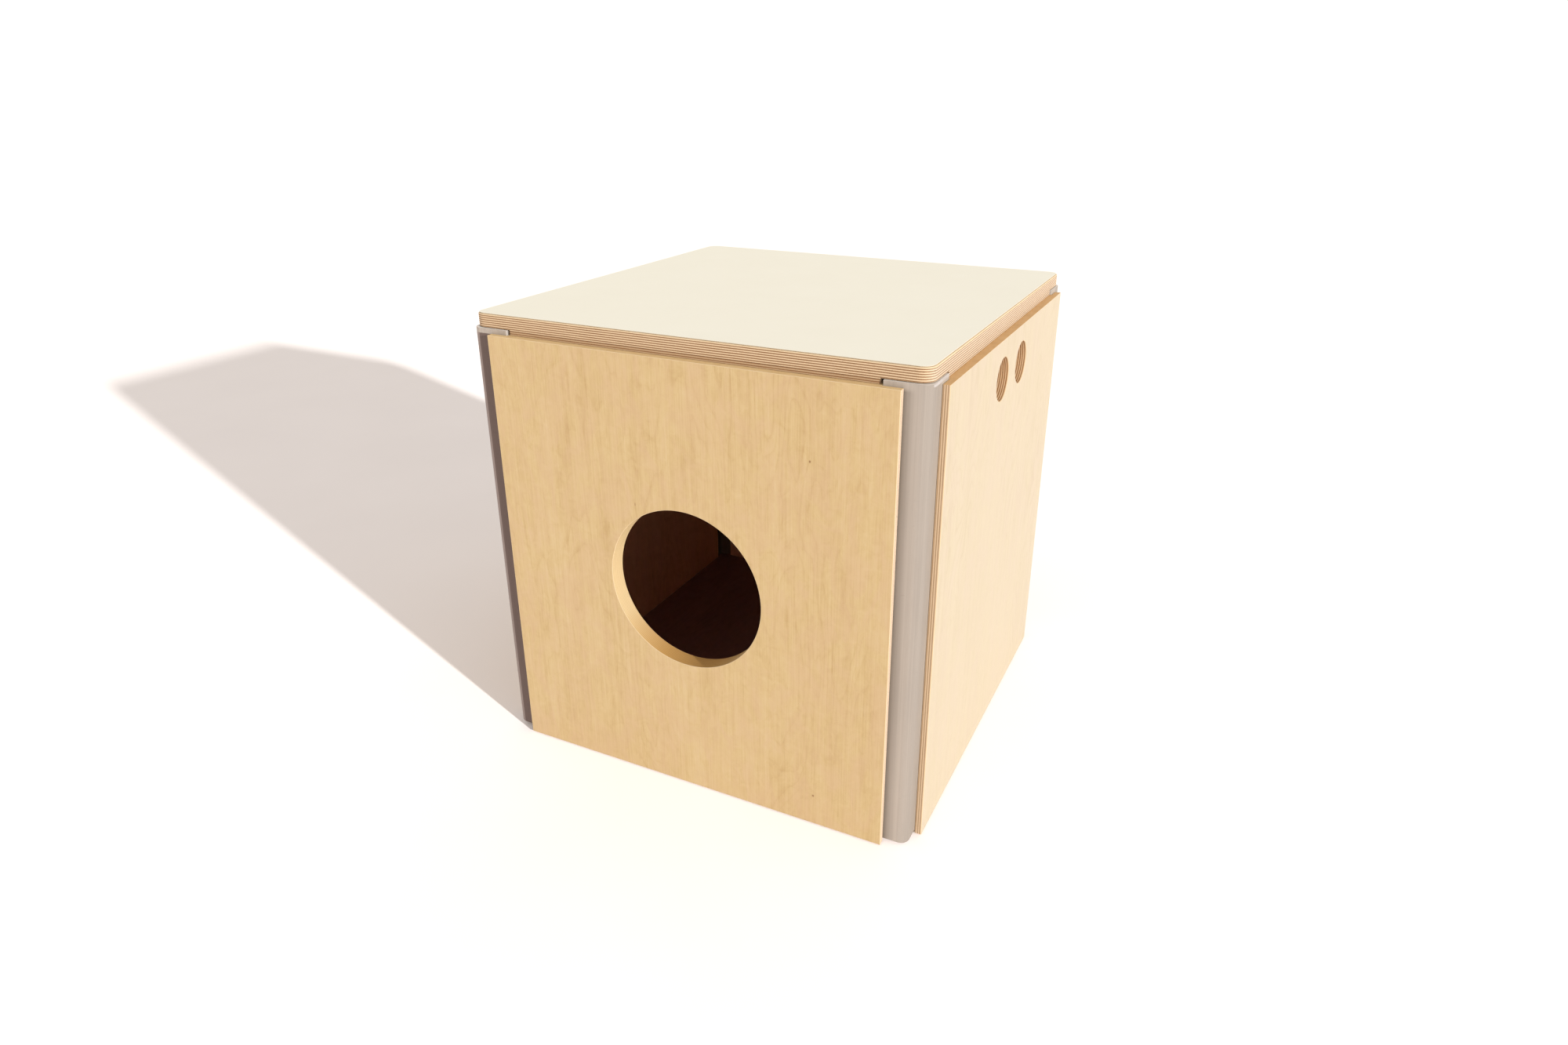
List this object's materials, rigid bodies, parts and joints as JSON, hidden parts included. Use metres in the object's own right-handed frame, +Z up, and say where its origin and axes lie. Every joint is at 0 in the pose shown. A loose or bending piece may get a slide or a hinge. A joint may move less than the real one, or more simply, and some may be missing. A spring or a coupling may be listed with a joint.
{
  "type": "cajon",
  "caption": "Cube-shaped plywood box drum on aluminium corner posts, with a sound hole, hand-grip holes, a laminated seat, and a thin rear playing plate with a snare that swings off it.",
  "frame": {"origin": "on the floor, under the middle of the box", "axes": "+Z up; -Y out of the sound hole; +Y out of the tapa; +X to the right seen from the sound hole"},
  "size_m": [0.622, 0.622, 0.6144],
  "materials": {
    "birch_plywood": "clear-lacquered birch veneer, satin",
    "birch_plywood_seat": "clear-lacquered plywood edge",
    "seat_laminate": "fine matt laminate",
    "aluminium_extrusion": "natural anodised, fine die lines",
    "pine": "planed",
    "tapa_veneer": "clear-lacquered, satin",
    "rubber": "matt",
    "zinc_steel": "zinc plated",
    "spring_steel": "drawn wire",
    "beech": "oiled"
  },
  "bodies": {
    "box": {"front_panel": "birch_plywood", "left_panel": "birch_plywood", "right_panel": "birch_plywood", "bottom_board": "birch_plywood", "rear_stile_left": "birch_plywood", "rear_stile_right": "birch_plywood", "rear_rail_top": "birch_plywood", "rear_rail_bottom": "birch_plywood", "top_board": "birch_plywood_seat", "seat_laminate": "seat_laminate", "corner_post_front_left": "aluminium_extrusion", "corner_post_front_right": "aluminium_extrusion", "corner_post_rear_left": "aluminium_extrusion", "corner_post_rear_right": "aluminium_extrusion", "cleat_front": "pine", "cleat_rear": "pine", "cleat_right_front": "pine", "cleat_right_rear": "pine", "cleat_left_front": "pine", "cleat_left_rear": "pine", "tapa": "tapa_veneer", "foot_front_left": "rubber", "foot_front_right": "rubber", "foot_rear_left": "rubber", "foot_rear_right": "rubber", "cleat_screw_1": "zinc_steel", "cleat_screw_2": "zinc_steel", "cleat_screw_3": "zinc_steel", "cleat_screw_4": "zinc_steel", "cleat_screw_5": "zinc_steel", "cleat_screw_6": "zinc_steel", "cleat_screw_7": "zinc_steel", "cleat_screw_8": "zinc_steel", "tapa_screw_1": "zinc_steel", "tapa_screw_2": "zinc_steel", "tapa_screw_3": "zinc_steel", "tapa_screw_4": "zinc_steel", "tapa_screw_5": "zinc_steel", "tapa_screw_6": "zinc_steel", "tapa_screw_7": "zinc_steel", "tapa_screw_8": "zinc_steel", "tapa_screw_9": "zinc_steel", "tapa_screw_10": "zinc_steel", "tapa_screw_11": "zinc_steel", "tapa_screw_12": "zinc_steel", "foot_screw_front_left": "zinc_steel", "foot_screw_front_right": "zinc_steel", "foot_screw_rear_left": "zinc_steel", "foot_screw_rear_right": "zinc_steel", "snare_bracket_left": "zinc_steel", "snare_bracket_right": "zinc_steel", "snare_bracket_screw_left": "zinc_steel", "snare_bracket_screw_right": "zinc_steel"},
    "snare": {"snare_bar": "beech", "snare_lever": "beech", "snare_wires_left": "spring_steel", "snare_wires_right": "spring_steel", "snare_bolt_left": "zinc_steel", "snare_bolt_right": "zinc_steel"}
  },
  "joints": [
    {"name": "snare_throw_off", "type": "hinge", "parent": "box", "child": "snare", "pos_m": [0, 0.272, 0.4], "axis": [-1, 0, 0], "range_deg": [0, 25]}
  ]
}
